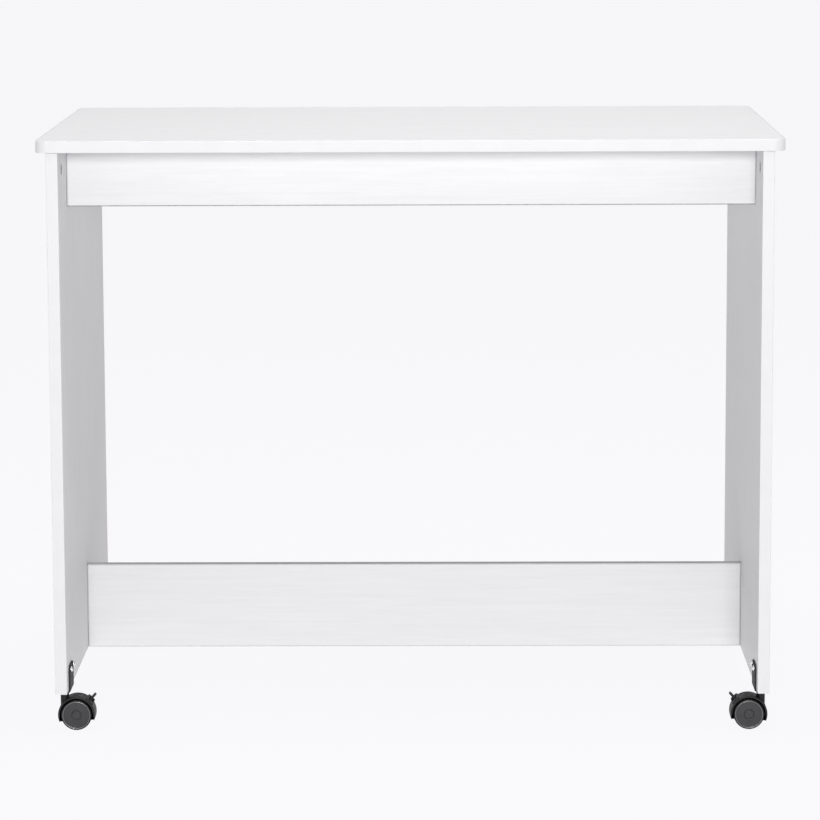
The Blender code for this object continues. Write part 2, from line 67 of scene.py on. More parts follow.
# Cam locks: the cam, its bore, and the throat that takes the bolt's head.
CAM_RADIUS = 0.0072
CAM_GROOVE_INNER = 0.0056
CAM_GROOVE_OUTER = 0.0064
CAM_BORE_RADIUS = 0.0075
CAM_BORE_DEPTH = 0.0125
CAM_RECESS = 0.0010
CAM_THROAT_RADIUS = 0.0036
CAM_THROAT_START = -0.0022
CAM_THROAT_END = 0.010
CAM_CROSS = (0.0068, 0.0013, 0.0040)
CAM_CROSS_TAPER = (0.55, 0.7)

# Casters. The bracket's and king pin's frame has Z on the swivel axis, z = 0 on the floor and the axle ahead
# along +X. The hood, the lever's pivot, the axle and the wheels start from the axle instead.
WHEEL_RADIUS = 0.020
WHEEL_WIDTH = 0.0112
WHEEL_INNER_Y = 0.0046
TRAIL = 0.016
HOOD_INNER_RADIUS = 0.0212
HOOD_OUTER_RADIUS = 0.0240
HOOD_WIDTH = 0.028
HOOD_OUTER_ARC = (-18, 204)
HOOD_INNER_ARC = (189, -3)
WEB_THICKNESS = 0.008
WEB_FOOT = ((-0.013, -0.004), (-0.006, -0.0085), (0.006, -0.0085), (0.013, -0.004))
BOSS_RADIUS = 0.0055
LUG_OUTER_RADIUS = 0.0264
LUG_INNER_RADIUS = 0.0230
LEVER_SLOT_LENGTH = 0.0104
LEVER_SLOT_HEIGHT = 0.0078
LEVER_SLOT_CENTRE = (0.0248, 0, -0.0009)
BEARING_HALF = 0.0126
LEVER_ANGLE = math.radians(46)
LEVER_PIVOT_RADIUS = 0.0240
LEVER_WIDTH = 0.020
LEVER_HUB_RADIUS = 0.0021
LEVER_REACH = 0.0115
TAB_WIDTH = 0.008
TAB_THICKNESS = 0.0026
SHOE_REACH = 0.0044
SHOE_TIP_RADIUS = 0.0006
SHOE_ANGLE = -120
TRUNNION_RADIUS = 0.0010
TRUNNION_HALF = 0.0120
RIB_RADIUS = 0.00045
RIB_FIRST = 0.0056
RIB_STEP = 0.0014
RIB_RISE = 0.00005
RIB_COUNT = 4
AXLE_RADIUS = 0.0025
AXLE_BORE_HALF = 0.010
HUB_RADIUS = 0.0046
RIM_INNER = 0.0166
BEAD_INNER = 0.0168
BEAD_OUTER = 0.0180
STEM_RADIUS = 0.003
COLLAR_RADIUS = 0.0060
COLLAR_HEIGHT = 0.003
PLAY = 0.0001

# Brackets and their screws.
PLATE = 0.002
BRACKET_WIDTH = 0.044
BRACKET_HEIGHT = 0.0325
BRACKET_BEND = 0.0025
BRACKET_CORNER = 0.007
FLANGE_REACH = 0.0065
SCREW_SPREAD = 0.015
SCREW_UP = 0.0275
SCREW_HOLE_RADIUS = 0.0022
SCREW_HEAD_RADIUS = 0.0037
SCREW_HEAD_HEIGHT = 0.0027
SCREW_RADIUS = 0.0018
SCREW_CORE_RADIUS = 0.0013
SCREW_GRIP = 0.0105
THREAD_PITCH = 0.0011
SCREW_CROSS = (0.0038, 0.0008, 0.0030)
SCREW_CROSS_TAPER = (0.4, 0.6)
CROSS_TURNS = (45, 135)

panel_low, panel_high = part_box("side_panel_right")
PANEL_BOTTOM = panel_low.z
BOARD = panel_high.x - panel_low.x
FLANGE_TOP = PANEL_BOTTOM - GAP
FLANGE_BOTTOM = FLANGE_TOP - PLATE
COLLAR_BOTTOM = FLANGE_BOTTOM - GAP - COLLAR_HEIGHT
BOSS_TOP = COLLAR_BOTTOM - 0.0004
BOSS_BOTTOM = 0.0285
SOCKET_BOTTOM = WHEEL_RADIUS + 0.002
SOCKET_TOP = 0.060

UP_IS_Y = Matrix.Rotation(math.radians(-90), 4, "X")
UP_IS_X = Matrix.Rotation(math.radians(90), 4, "Y")


# --- Mesh building -------------------------------------------------------------------------------------


def finished_mesh(bm, name):
    bmesh.ops.recalc_face_normals(bm, faces=bm.faces)
    mesh = bpy.data.meshes.new(name)
    bm.to_mesh(mesh)
    bm.free()
    mesh.shade_smooth()
    mesh.set_sharp_from_angle(angle=SMOOTH_ANGLE)
    return mesh


def round_edges(bm, width, segments=3, above=35):
    """Rounds every edge that is sharper than this angle."""
    sharp = [edge for edge in bm.edges if edge.calc_face_angle(0) > math.radians(above)]
    bmesh.ops.bevel(bm, geom=sharp, offset=width, segments=segments, profile=0.5, affect="EDGES")


def block(size):
    """A box with its centre at the origin."""
    bm = bmesh.new()
    bmesh.ops.create_cube(bm, size=1.0)
    bmesh.ops.scale(bm, vec=size, verts=bm.verts)
    return bm


def prism(outline, width, rounding=0.0, segments=3):
    """An outline of (x, z) points, extruded along Y to this width with y = 0 in its middle."""
    bm = bmesh.new()
    face = bm.faces.new([bm.verts.new((x, -width / 2, z)) for x, z in outline])
    made = bmesh.ops.extrude_face_region(bm, geom=[face])
    moved = [item for item in made["geom"] if isinstance(item, bmesh.types.BMVert)]
    bmesh.ops.translate(bm, vec=(0, width, 0), verts=moved)
    bmesh.ops.recalc_face_normals(bm, faces=bm.faces)
    if rounding:
        round_edges(bm, rounding, segments)
    return bm


def turned(profile, sides=FINE_SIDES, turn=0.0):
    """A profile of (radius, height) points, spun round Z. It starts and ends on the axis, or it closes."""
    bm = bmesh.new()
    start = Matrix.Rotation(turn, 4, "Z")
    points = [bm.verts.new(start @ Vector((radius, 0, height))) for radius, height in profile]
    edges = [bm.edges.new(pair) for pair in zip(points, points[1:])]
    if profile[0][0] > 0:
        edges.append(bm.edges.new((points[-1], points[0])))
    bmesh.ops.spin(
        bm, geom=points + edges, cent=(0, 0, 0), axis=(0, 0, 1), angle=math.tau, steps=sides, use_merge=True
    )
    bmesh.ops.remove_doubles(bm, verts=bm.verts, dist=1e-6)
    return bm


def arc(radius, first, last, steps, centre=(0.0, 0.0)):
    """Points along an arc, from one angle to another in degrees."""
    points = []
    for step in range(steps + 1):
        angle = math.radians(first + (last - first) * step / steps)
        points.append((centre[0] + radius * math.cos(angle), centre[1] + radius * math.sin(angle)))
    return points


def rod(radius, low, high):
    return [(0, low), (radius, low), (radius, high), (0, high)]


def rounded_profile(corners, radius, steps=4):
    """The same profile with each corner between its first and last point rounded off."""
    points = [corners[0]]
    for before, corner, after in zip(corners, corners[1:], corners[2:]):
        corner = Vector(corner)
        back = Vector(before) - corner
        ahead = Vector(after) - corner
        cut = min(radius, back.length * 0.45, ahead.length * 0.45)
        start = corner + back.normalized() * cut
        end = corner + ahead.normalized() * cut
        for step in range(steps + 1):
            share = step / steps
            first = start.lerp(corner, share)
            second = corner.lerp(end, share)
            points.append(tuple(first.lerp(second, share)))
    points.append(corners[-1])
    return points


def add_object(name, mesh, matrix=None):
    obj = bpy.data.objects.new(name, mesh)
    bpy.context.scene.collection.objects.link(obj)
    obj.matrix_world = matrix or Matrix.Identity(4)
    return obj


def combine(obj, bm, operation, matrix=None, material=None):
    """Adds a Boolean with a shape made only for it. Cut faces take the tool's material."""
    name = f"{obj.name}_tool_{len(obj.modifiers)}"
    tool = add_object(name, finished_mesh(bm, name), matrix)
    if material:
        tool.data.materials.append(material)
    modifier = obj.modifiers.new(operation.title() + "_" + name, "BOOLEAN")
    modifier.operation = operation
    modifier.solver = "EXACT"
    modifier.material_mode = "TRANSFER"
    modifier.object = tool


def cut_cross(obj, size, taper, mouth, way):
    """Cuts a cross recess at the height `mouth`. Its blades narrow on their way in: up (1) or down (-1)."""
    for turn in CROSS_TURNS:
        blade = block(size)
        deep = [vert for vert in blade.verts if vert.co.z * way > 0]
        bmesh.ops.scale(blade, vec=(*taper, 1), verts=deep)
        turned_blade = Matrix.Rotation(math.radians(turn), 4, "Z")
        combine(obj, blade, "DIFFERENCE", Matrix.Translation((0, 0, mouth)) @ turned_blade)


def settled(obj):
    """The object's shape with its modifiers applied, as a mesh. The object and its tools are removed."""
    bpy.context.view_layer.update()
    graph = bpy.context.evaluated_depsgraph_get()
    mesh = bpy.data.meshes.new_from_object(obj.evaluated_get(graph))
    mesh.name = obj.name
    mesh.shade_smooth()
    mesh.set_sharp_from_angle(angle=SMOOTH_ANGLE)
    for used in [obj] + [modifier.object for modifier in obj.modifiers if modifier.type == "BOOLEAN"]:
        bpy.data.objects.remove(used, do_unlink=True)
    return mesh


def piece(name, node, mesh, material, body, matrix=None):
    """One visible piece that stands for a CAD node and rides on its body."""
    obj = add_object(name, mesh, matrix)
    if material:
        mesh.materials.clear()
        mesh.materials.append(material)
    shading = obj.modifiers.new("Weighted_normals", "WEIGHTED_NORMAL")
    shading.keep_sharp = True
    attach(obj, body)
    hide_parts(node)
    return obj


# --- Materials -----------------------------------------------------------------------------------------

PLASTIC_SKIN_DEPTH = 0.00003
MELAMINE_SHADE = (0.026, 0.026, 0.017)


def new_material(name, color, roughness, metallic=0.0, specular=0.5):
    material = bpy.data.materials.new(name)
    material.use_nodes = True
    shader = material.node_tree.nodes["Principled BSDF"]
    shader.inputs["Base Color"].default_value = (*color, 1.0)
    shader.inputs["Roughness"].default_value = roughness
    shader.inputs["Metallic"].default_value = metallic
    shader.inputs["Specular IOR Level"].default_value = specular
    return material, material.node_tree, shader


def noise(tree, feature, detail=2.0, distortion=0.0):
    """Noise in the piece's own space whose features have about this size, in metres, along x, y and z."""
    coords = tree.nodes.new("ShaderNodeTexCoord")
    mapping = tree.nodes.new("ShaderNodeMapping")
    mapping.inputs["Scale"].default_value = [1.0 / size for size in feature]
    texture = tree.nodes.new("ShaderNodeTexNoise")
    texture.inputs["Scale"].default_value = 1.0
    texture.inputs["Detail"].default_value = detail
    texture.inputs["Distortion"].default_value = distortion
    tree.links.new(coords.outputs["Object"], mapping.inputs["Vector"])
    tree.links.new(mapping.outputs["Vector"], texture.inputs["Vector"])
    return texture.outputs["Fac"]


def remap(tree, value, low, high, to_low, to_high):
    node = tree.nodes.new("ShaderNodeMapRange")
    node.inputs["From Min"].default_value = low
    node.inputs["From Max"].default_value = high
    node.inputs["To Min"].default_value = to_low
    node.inputs["To Max"].default_value = to_high
    tree.links.new(value, node.inputs["Value"])
    return node.outputs["Result"]


def math_node(tree, operation, first, second):
    node = tree.nodes.new("ShaderNodeMath")
    node.operation = operation
    for socket, value in zip(node.inputs, (first, second)):
        if isinstance(value, float):
            socket.default_value = value
        else:
            tree.links.new(value, socket)
    return node.outputs["Value"]


def mix_color(tree, factor, first, second):
    node = tree.nodes.new("ShaderNodeMix")
    node.data_type = "RGBA"
    colors = [socket for socket in node.inputs if socket.type == "RGBA"]
    for socket, color in zip(colors, (first, second)):
        if isinstance(color, tuple):
            socket.default_value = (*color, 1.0)
        else:
            tree.links.new(color, socket)
    tree.links.new(factor, node.inputs["Factor"])
    return next(socket for socket in node.outputs if socket.type == "RGBA")


def tint(tree, shader, value, low, high, first, second):
    """Colours the shader from the first colour to the second, as the value goes from low to high."""
    share = remap(tree, value, low, high, 0.0, 1.0)
    tree.links.new(mix_color(tree, share, first, second), shader.inputs["Base Color"])


def add_bump(tree, shader, height, distance, strength):
    """Adds a bump of this depth, on top of any that the shader has."""
    node = tree.nodes.new("ShaderNodeBump")
    node.inputs["Strength"].default_value = strength
    node.inputs["Distance"].default_value = distance
    tree.links.new(height, node.inputs["Height"])
    if shader.inputs["Normal"].is_linked:
        tree.links.new(shader.inputs["Normal"].links[0].from_socket, node.inputs["Normal"])
    tree.links.new(node.outputs["Normal"], shader.inputs["Normal"])


def along(axis, length, across):
    """A feature size that is long along one axis and narrow along the other two."""
    return [length if letter == axis else across for letter in "xyz"]


def melamine(name, grain_axis, whiteness):
    """White melamine paper with a pressed wood grain: long fine streaks, broad soft bands and short pores."""
    light = (whiteness, whiteness, whiteness + 0.007)
    shade = tuple(whiteness - drop for drop in MELAMINE_SHADE)
    material, tree, shader = new_material(name, light, 0.45, specular=0.25)
    bands = noise(tree, along(grain_axis, 0.160, 0.0070), detail=3.0, distortion=0.6)
    streaks = noise(tree, along(grain_axis, 0.060, 0.0016), detail=3.0, distortion=0.3)
    pores = remap(tree, noise(tree, along(grain_axis, 0.010, 0.0007), detail=1.0), 0.62, 0.70, 0.0, 1.0)
    broad = math_node(tree, "MULTIPLY", bands, 0.6)
    fine = math_node(tree, "MULTIPLY", streaks, 0.4)
    tint(tree, shader, math_node(tree, "ADD", broad, fine), 0.40, 0.62, light, shade)
    tree.links.new(remap(tree, streaks, 0.35, 0.65, 0.38, 0.54), shader.inputs["Roughness"])
    height = math_node(tree, "SUBTRACT", streaks, math_node(tree, "MULTIPLY", pores, 0.6))
    add_bump(tree, shader, height, 0.00012, 0.6)
    add_bump(tree, shader, bands, 0.0004, 0.35)
    return material


def edge_band(name):
    """White plastic edge band: smoother than the board, with faint drawing lines."""
    light = (0.705, 0.705, 0.712)
    material, tree, shader = new_material(name, light, 0.36, specular=0.25)
    cloud = noise(tree, (0.030, 0.030, 0.030), detail=2.0)
    tint(tree, shader, cloud, 0.35, 0.65, light, (0.690, 0.690, 0.698))
    fine = noise(tree, (0.0008, 0.0008, 0.0008), detail=2.0)
    tree.links.new(remap(tree, fine, 0.3, 0.7, 0.30, 0.42), shader.inputs["Roughness"])
    add_bump(tree, shader, fine, 0.00002, 0.5)
    return material


def glue_line_and_shade(name):
    """The dark seam beside the edge band, with a little dirt in it; it is also the painted shade along the
    apron's lower edge.
    """
    material, tree, shader = new_material(name, (0.30, 0.297, 0.293), 0.6)
    dirt = noise(tree, (0.004, 0.004, 0.004), detail=2.0)
    tint(tree, shader, dirt, 0.3, 0.7, (0.34, 0.337, 0.333), (0.22, 0.218, 0.214))
    return material


def chipboard(name):
    """The raw core of the board, seen on the walls of its bores."""
    material, tree, shader = new_material(name, (0.34, 0.30, 0.26), 0.85)
    chips = noise(tree, (0.0022, 0.0009, 0.0014), detail=4.0, distortion=0.8)
    tint(tree, shader, chips, 0.35, 0.65, (0.24, 0.21, 0.18), (0.46, 0.41, 0.36))
    add_bump(tree, shader, chips, 0.0003, 0.8)
    return material


def moulded_plastic(name, dark, light, roughness, spread=0.08, specular=0.5, grain=0.00035):
    """Moulded plastic: a fine spark-eroded texture, slight flow marks and a roughness that varies."""
    material, tree, shader = new_material(name, dark, roughness, specular=specular)
    flow = noise(tree, (0.012, 0.012, 0.006), detail=3.0, distortion=0.5)
    skin = noise(tree, (grain, grain, grain), detail=2.0)
    tint(tree, shader, flow, 0.35, 0.65, dark, light)
    broad = remap(tree, flow, 0.3, 0.7, -spread, spread)
    fine = remap(tree, skin, 0.3, 0.7, roughness - spread / 2, roughness + spread / 2)
    tree.links.new(math_node(tree, "ADD", broad, fine), shader.inputs["Roughness"])
    add_bump(tree, shader, skin, PLASTIC_SKIN_DEPTH, 0.6)
    return material


def tread_plastic(name):
    """Black tread with a little floor dust rubbed into it."""
    material, tree, shader = new_material(name, (0.010, 0.010, 0.011), 0.55, specular=0.25)
    scuffs = noise(tree, (0.0030, 0.0030, 0.0010), detail=4.0)
    dust = remap(tree, scuffs, 0.50, 0.80, 0.0, 0.25)
    worn = mix_color(tree, dust, (0.008, 0.008, 0.009), (0.09, 0.088, 0.085))
    tree.links.new(worn, shader.inputs["Base Color"])
    tree.links.new(remap(tree, scuffs, 0.3, 0.7, 0.45, 0.65), shader.inputs["Roughness"])
    add_bump(tree, shader, noise(tree, (0.0004, 0.0004, 0.0004)), 0.00004, 0.6)
    return material


def metal(name, color, roughness, spread, lines=None, depth=0.00001):
    """Metal with a roughness that varies. `lines` is the feature size of its working marks."""
    material, tree, shader = new_material(name, color, roughness, metallic=1.0)
    marks = noise(tree, lines or (0.0015, 0.0015, 0.0015), detail=3.0)
    stain = noise(tree, (0.008, 0.008, 0.008), detail=3.0)
    darker = tuple(channel * 0.80 for channel in color)
    tint(tree, shader, stain, 0.4, 0.7, color, darker)
    tree.links.new(
        remap(tree, marks, 0.3, 0.7, roughness - spread, roughness + spread), shader.inputs["Roughness"]
    )
    add_bump(tree, shader, marks, depth, 0.7)
    return material


MELAMINE_X = melamine("Melamine_grain_x", "x", 0.730)
# The side panels' melamine is darker than the other boards' melamine, as painted shade for their shaded inner
# faces.
MELAMINE_Z_SHADED = melamine("Melamine_grain_z_painted_shade", "z", 0.692)
EDGE_BAND = edge_band("Edge_band")
GLUE_AND_SHADE = glue_line_and_shade("Glue_line_and_painted_shade")
CHIPBOARD = chipboard("Chipboard_core")
ZINC = metal("Die_cast_zinc", (0.52, 0.53, 0.55), 0.40, 0.10, (0.0006, 0.0006, 0.0006), 0.00003)
STEEL = metal("Bright_steel", (0.60, 0.60, 0.61), 0.28, 0.08, (0.004, 0.004, 0.0002))
PLATED_STEEL = metal("Plated_screw", (0.93, 0.93, 0.94), 0.34, 0.08)
BRACKET_PAINT = moulded_plastic(
    "Black_bracket_paint", (0.022, 0.022, 0.024), (0.032, 0.032, 0.034), 0.60, specular=0.15, grain=0.0008
)
HOOD_PLASTIC = moulded_plastic(
    "Black_hood_plastic", (0.009, 0.009, 0.010), (0.013, 0.013, 0.014), 0.48, specular=0.25
)
LEVER_PLASTIC = moulded_plastic(
    "Black_lever_plastic", (0.012, 0.012, 0.013), (0.017, 0.017, 0.018), 0.42, specular=0.25
)
WHEEL_PLASTIC = moulded_plastic(
    "Charcoal_wheel_plastic", (0.024, 0.024, 0.027), (0.031, 0.030, 0.034), 0.44, specular=0.35
)
# The bead is a lighter grey than the wheel, as a painted highlight along its rim, on top of its real gloss.
BEAD_HIGHLIGHT_PLASTIC = moulded_plastic(
    "Glossy_wheel_bead_painted_highlight", (0.080, 0.080, 0.084), (0.095, 0.095, 0.100), 0.24, 0.04, specular=1.0
)
TREAD_PLASTIC = tread_plastic("Black_tread_plastic")


# --- Boards --------------------------------------------------------------------------------------------


def board(node, face_axis, melamine_material, corner_radius=0.0, bores=(), painted_shade_lower_edge=False):
    """A banded board. Its wide faces look along face_axis, and bores are the places of its cam bores. With
    the lower-edge flag, its lower edge takes the dark glue colour as painted shade.
    """
    low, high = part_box(node)
    centre = (low + high) / 2
    size = high - low
    bm = block(size)
    if corner_radius:
        short = [
            edge for edge in bm.edges
            if abs((edge.verts[0].co - edge.verts[1].co)[face_axis]) > BOARD / 2
        ]
        bmesh.ops.bevel(bm, geom=short, offset=corner_radius, segments=16, profile=0.5, affect="EDGES")
    bm.normal_update()
    for face in bm.faces:
        face.material_index = 0 if abs(face.normal[face_axis]) > 0.9 else 1
    round_edges(bm, EDGE_ROUND)
    bm.normal_update()
    wide = [face for face in bm.faces if face.material_index == 0 and abs(face.normal[face_axis]) > 0.999]
    for face in bm.faces:
        if face not in wide:
            face.material_index = 1
    rings = ((BAND - EDGE_ROUND, 0, 1), (GLUE_LINE, -GLUE_DEPTH, 2), (GLUE_LINE, GLUE_DEPTH, 2))
    for face in wide:
        for inset, depth, material_index in rings:
            ring = bmesh.ops.inset_region(
                bm, faces=[face], thickness=inset, depth=depth, use_even_offset=True
            )
            for made in ring["faces"]:
                made.material_index = material_index
    # Painted shade: the faces along the lower edge, all but the underside, take the dark glue colour.
    if painted_shade_lower_edge:
        bm.normal_update()
        for face in bm.faces:
            if face.calc_center_median().z < PAINTED_SHADE_RISE - size.z / 2 and face.normal.z > -0.99:
                face.material_index = 2
    mesh = finished_mesh(bm, node)
    for material in (melamine_material, EDGE_BAND, GLUE_AND_SHADE):
        mesh.materials.append(material)
    blank = add_object(node + "_blank", mesh)
    for matrix in bores:
        cutter = turned(rounded_profile(rod(CAM_BORE_RADIUS, -0.001, CAM_BORE_DEPTH), 0.0003, 2), SMALL_SIDES)
        combine(blank, cutter, "DIFFERENCE", Matrix.Translation(-centre) @ matrix, CHIPBOARD)
    if bores:
        mesh = settled(blank)
    else:
        bpy.data.objects.remove(blank, do_unlink=True)
    return piece(node + "_board", node, mesh, None, "table", Matrix.Translation(centre))


def facing(origin, into, towards_bolt):
    """A frame whose Z runs into the board and whose X runs towards the bolt."""
    across = into.cross(towards_bolt)
    turn = Matrix((towards_bolt, across, into)).transposed().to_4x4()
    return Matrix.Translation(origin) @ turn


def cam_places():
    """Each cam lock's own frame at the mouth of its bore, worked out from its CAD node's box."""
    x_axis, y_axis, z_axis = (Vector(axis) for axis in ((1, 0, 0), (0, 1, 0), (0, 0, 1)))
    places = {}
    for side_name, side in SIDES.items():
        for end_name in ENDS:
            suffix = f"top_{end_name}_{side_name}"
            low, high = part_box("cam_lock_" + suffix)
            mouth = (low + high) / 2
            mouth.x = side * (min(abs(low.x), abs(high.x)) - CAM_RECESS)
            places[suffix] = facing(mouth, side * x_axis, z_axis)
        for suffix in (f"apron_{side_name}", f"stretcher_lower_{side_name}", f"stretcher_upper_{side_name}"):
            low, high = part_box("cam_lock_" + suffix)
            mouth = (low + high) / 2
            mouth.y = high.y + CAM_RECESS
            places[suffix] = facing(mouth, -y_axis, side * x_axis)
    return places


def cam_mesh():
    """A die-cast cam with a rounded face, a cross recess and an open throat for its bolt."""
    low = CAM_RECESS
    high = CAM_BORE_DEPTH - GAP
    groove = (CAM_GROOVE_INNER + CAM_GROOVE_OUTER) / 2
    corners = [(0, low), (CAM_GROOVE_INNER, low), (groove, low + 0.0003), (CAM_GROOVE_OUTER, low)]
    corners += [(CAM_RADIUS, low), (CAM_RADIUS, high), (0, high)]
    cam = add_object("cam", finished_mesh(turned(rounded_profile(corners, 0.0004, 3), 56), "cam"))
    cut_cross(cam, CAM_CROSS, CAM_CROSS_TAPER, low, 1)
    throat = turned(rod(CAM_THROAT_RADIUS, CAM_THROAT_START, CAM_THROAT_END), SMALL_SIDES)
    combine(cam, throat, "DIFFERENCE", Matrix.Translation((0, 0, BOARD / 2)) @ UP_IS_X)
    return settled(cam)


def make_boards():
    """The five boards and their cam locks. The cam bolts' CAD nodes stay, and get a material."""
    places = cam_places()
    bores = {"side_panel_left": [], "side_panel_right": [], "apron": [], "lower_stretcher": []}
    for suffix, matrix in places.items():
        if suffix.startswith("top"):
            bores["side_panel_" + suffix.split("_")[-1]].append(matrix)
        elif suffix.startswith("apron"):
            bores["apron"].append(matrix)
        else:
            bores["lower_stretcher"].append(matrix)
    board("tabletop", 2, MELAMINE_X, corner_radius=CORNER_RADIUS)
    board("side_panel_left", 0, MELAMINE_Z_SHADED, bores=bores["side_panel_left"])
    board("side_panel_right", 0, MELAMINE_Z_SHADED, bores=bores["side_panel_right"])
    board("apron", 1, MELAMINE_X, bores=bores["apron"], painted_shade_lower_edge=True)
    board("lower_stretcher", 1, MELAMINE_X, bores=bores["lower_stretcher"])
    cam = cam_mesh()
    for suffix, matrix in places.items():
        piece("cam_" + suffix, "cam_lock_" + suffix, cam, ZINC, "table", matrix)
        bolt = bpy.data.objects["cam_bolt_" + suffix]
        bolt.data.materials.clear()
        bolt.data.materials.append(STEEL)


# --- Brackets and casters ------------------------------------------------------------------------------


def into_x(x, y, z):
    """A frame at this place whose Z runs along +X."""
    return Matrix.Translation((x, y, z)) @ UP_IS_X


def axle_place():
    return Matrix.Translation((TRAIL, 0, WHEEL_RADIUS))


def along_y(y, way):
    """A frame at this y whose Z runs along +Y (way 1) or -Y (way -1)."""
    return Matrix.Translation((0, y, 0)) @ Matrix.Rotation(-way * math.pi / 2, 4, "X")


def lever_pivot():
    return Matrix.Translation((
        LEVER_PIVOT_RADIUS * math.cos(LEVER_ANGLE), 0, LEVER_PIVOT_RADIUS * math.sin(LEVER_ANGLE)
    ))


def bracket_mesh():
    """A pressed steel angle with a rounded bend, rounded upper corners and rolled edges."""
    plate_front = BOARD / 2 + GAP
    plate_back = plate_front + PLATE
    top = FLANGE_TOP + BRACKET_HEIGHT
    outline = [(-FLANGE_REACH, FLANGE_BOTTOM)]
    outline += arc(BRACKET_BEND, -90, 0, 8, (plate_back - BRACKET_BEND, FLANGE_BOTTOM + BRACKET_BEND))
    outline += [(plate_back, top), (plate_front, top), (plate_front, FLANGE_TOP), (-FLANGE_REACH, FLANGE_TOP)]
    bm = prism(outline, BRACKET_WIDTH)
    upper = [
        edge for edge in bm.edges
        if all(vert.co.z > top - GAP for vert in edge.verts)
        and abs(edge.verts[0].co.x - edge.verts[1].co.x) > PLATE / 2
    ]
    bmesh.ops.bevel(bm, geom=upper, offset=BRACKET_CORNER, segments=12, profile=0.5, affect="EDGES")
    round_edges(bm, 0.00022, 2, above=50)
    bracket = add_object("bracket", finished_mesh(bm, "bracket"))
    hole_at = Matrix.Translation((0, 0, FLANGE_BOTTOM - 0.001))
    combine(bracket, turned(rod(STEM_RADIUS + GAP, 0, 0.004), SMALL_SIDES), "DIFFERENCE", hole_at)
    for across in (-1, 1):
        hole_at = into_x(plate_front - 0.002, across * SCREW_SPREAD, PANEL_BOTTOM + SCREW_UP)
        combine(bracket, turned(rod(SCREW_HOLE_RADIUS, 0, 0.006), SMALL_SIDES), "DIFFERENCE", hole_at)
    return settled(bracket)


def screw_mesh():
    """A pan-head screw with a cross recess and a thread. Z = 0 is the underside of its head."""
    head = [
        (SCREW_RADIUS, 0.0), (SCREW_HEAD_RADIUS, 0.0), (SCREW_HEAD_RADIUS, 0.0009), (0.0027, 0.0024),
        (0, SCREW_HEAD_HEIGHT),
    ]
    tip = -PLATE - SCREW_GRIP
    shank = [(0, tip), (0.0004, tip + 0.0006), (0.0014, tip + 0.0028)]
    height = tip + 0.0030
    while height < -THREAD_PITCH:
        shank.append((SCREW_CORE_RADIUS, height))
        shank.append((SCREW_RADIUS, height + THREAD_PITCH * 0.42))
        shank.append((SCREW_CORE_RADIUS, height + THREAD_PITCH * 0.55))
        height += THREAD_PITCH
    profile = shank + [(0.0015, -0.0002)] + rounded_profile(head, 0.0006, 4)
    screw = add_object("screw", finished_mesh(turned(profile, SMALL_SIDES), "screw"))
    cut_cross(screw, SCREW_CROSS, SCREW_CROSS_TAPER, SCREW_HEAD_HEIGHT, -1)
    return settled(screw)


def king_pin_mesh():
    """The upright pin: its stem, the collar under the flange, and its end in the flange's hole."""
    corners = [
        (0, SOCKET_BOTTOM + GAP),
        (STEM_RADIUS, SOCKET_BOTTOM + GAP),
        (STEM_RADIUS, COLLAR_BOTTOM),
        (COLLAR_RADIUS, COLLAR_BOTTOM),
        (COLLAR_RADIUS, FLANGE_BOTTOM - GAP),
        (STEM_RADIUS, FLANGE_BOTTOM - GAP),
        (STEM_RADIUS, FLANGE_TOP),
        (0, FLANGE_TOP),
    ]
    return finished_mesh(turned(rounded_profile(corners, 0.0004, 3), 56), "king_pin")


def hood_mesh(with_brake):
    """The caster's housing: a C-shaped shell over the treads, the web between the wheels, and the boss.

    With a brake it also has two lugs, a slot for the lever and a bearing for the lever's trunnion.
    """
    axle = axle_place()
    outline = arc(HOOD_OUTER_RADIUS, *HOOD_OUTER_ARC, 72) + arc(HOOD_INNER_RADIUS, *HOOD_INNER_ARC, 68)
    hood = add_object("hood", finished_mesh(prism(outline, HOOD_WIDTH, 0.0005, 3), "hood"))
    web = arc(HOOD_INNER_RADIUS + 0.0008, 0, 180, 48)
    web += WEB_FOOT
    combine(hood, prism(web, WEB_THICKNESS, 0.0003, 2), "UNION")
    boss_profile = rounded_profile(rod(BOSS_RADIUS, BOSS_BOTTOM, BOSS_TOP), 0.0006, 3)
    boss = add_object("boss", finished_mesh(turned(boss_profile, 56, 0.03), "boss"))
    for way in (-1, 1):
        room = turned(rod(HOOD_INNER_RADIUS + 0.001, 0, WHEEL_WIDTH), 72)
        combine(boss, room, "DIFFERENCE", axle @ along_y(way * (WHEEL_INNER_Y - GAP), way))
    boss_shape = bmesh.new()
    boss_shape.from_mesh(settled(boss))
    combine(hood, boss_shape, "UNION", axle.inverted())
    if with_brake:
        middle = math.degrees(LEVER_ANGLE)
        lugs = arc(LUG_OUTER_RADIUS, middle - 13, middle + 10, 14)
        lugs += arc(LUG_INNER_RADIUS, middle + 14, middle - 17, 16)
        combine(hood, prism(lugs, HOOD_WIDTH - 2 * GAP, 0.0005, 3), "UNION")
        slot = block((LEVER_SLOT_LENGTH, LEVER_WIDTH + 2 * GAP, LEVER_SLOT_HEIGHT))
        bmesh.ops.translate(slot, vec=LEVER_SLOT_CENTRE, verts=slot.verts)
        combine(hood, slot, "DIFFERENCE", Matrix.Rotation(-LEVER_ANGLE, 4, "Y"))
        bearing = turned(rod(TRUNNION_RADIUS + PLAY, -BEARING_HALF, BEARING_HALF), SMALL_SIDES)
        combine(hood, bearing, "DIFFERENCE", lever_pivot() @ UP_IS_Y)
    socket = turned(rod(STEM_RADIUS + PLAY, SOCKET_BOTTOM, SOCKET_TOP), SMALL_SIDES, 0.11)
    combine(hood, socket, "DIFFERENCE", axle.inverted())
    axle_bore = turned(rod(AXLE_RADIUS + PLAY, -AXLE_BORE_HALF, AXLE_BORE_HALF), SMALL_SIDES)
    combine(hood, axle_bore, "DIFFERENCE", UP_IS_Y)
    return settled(hood)


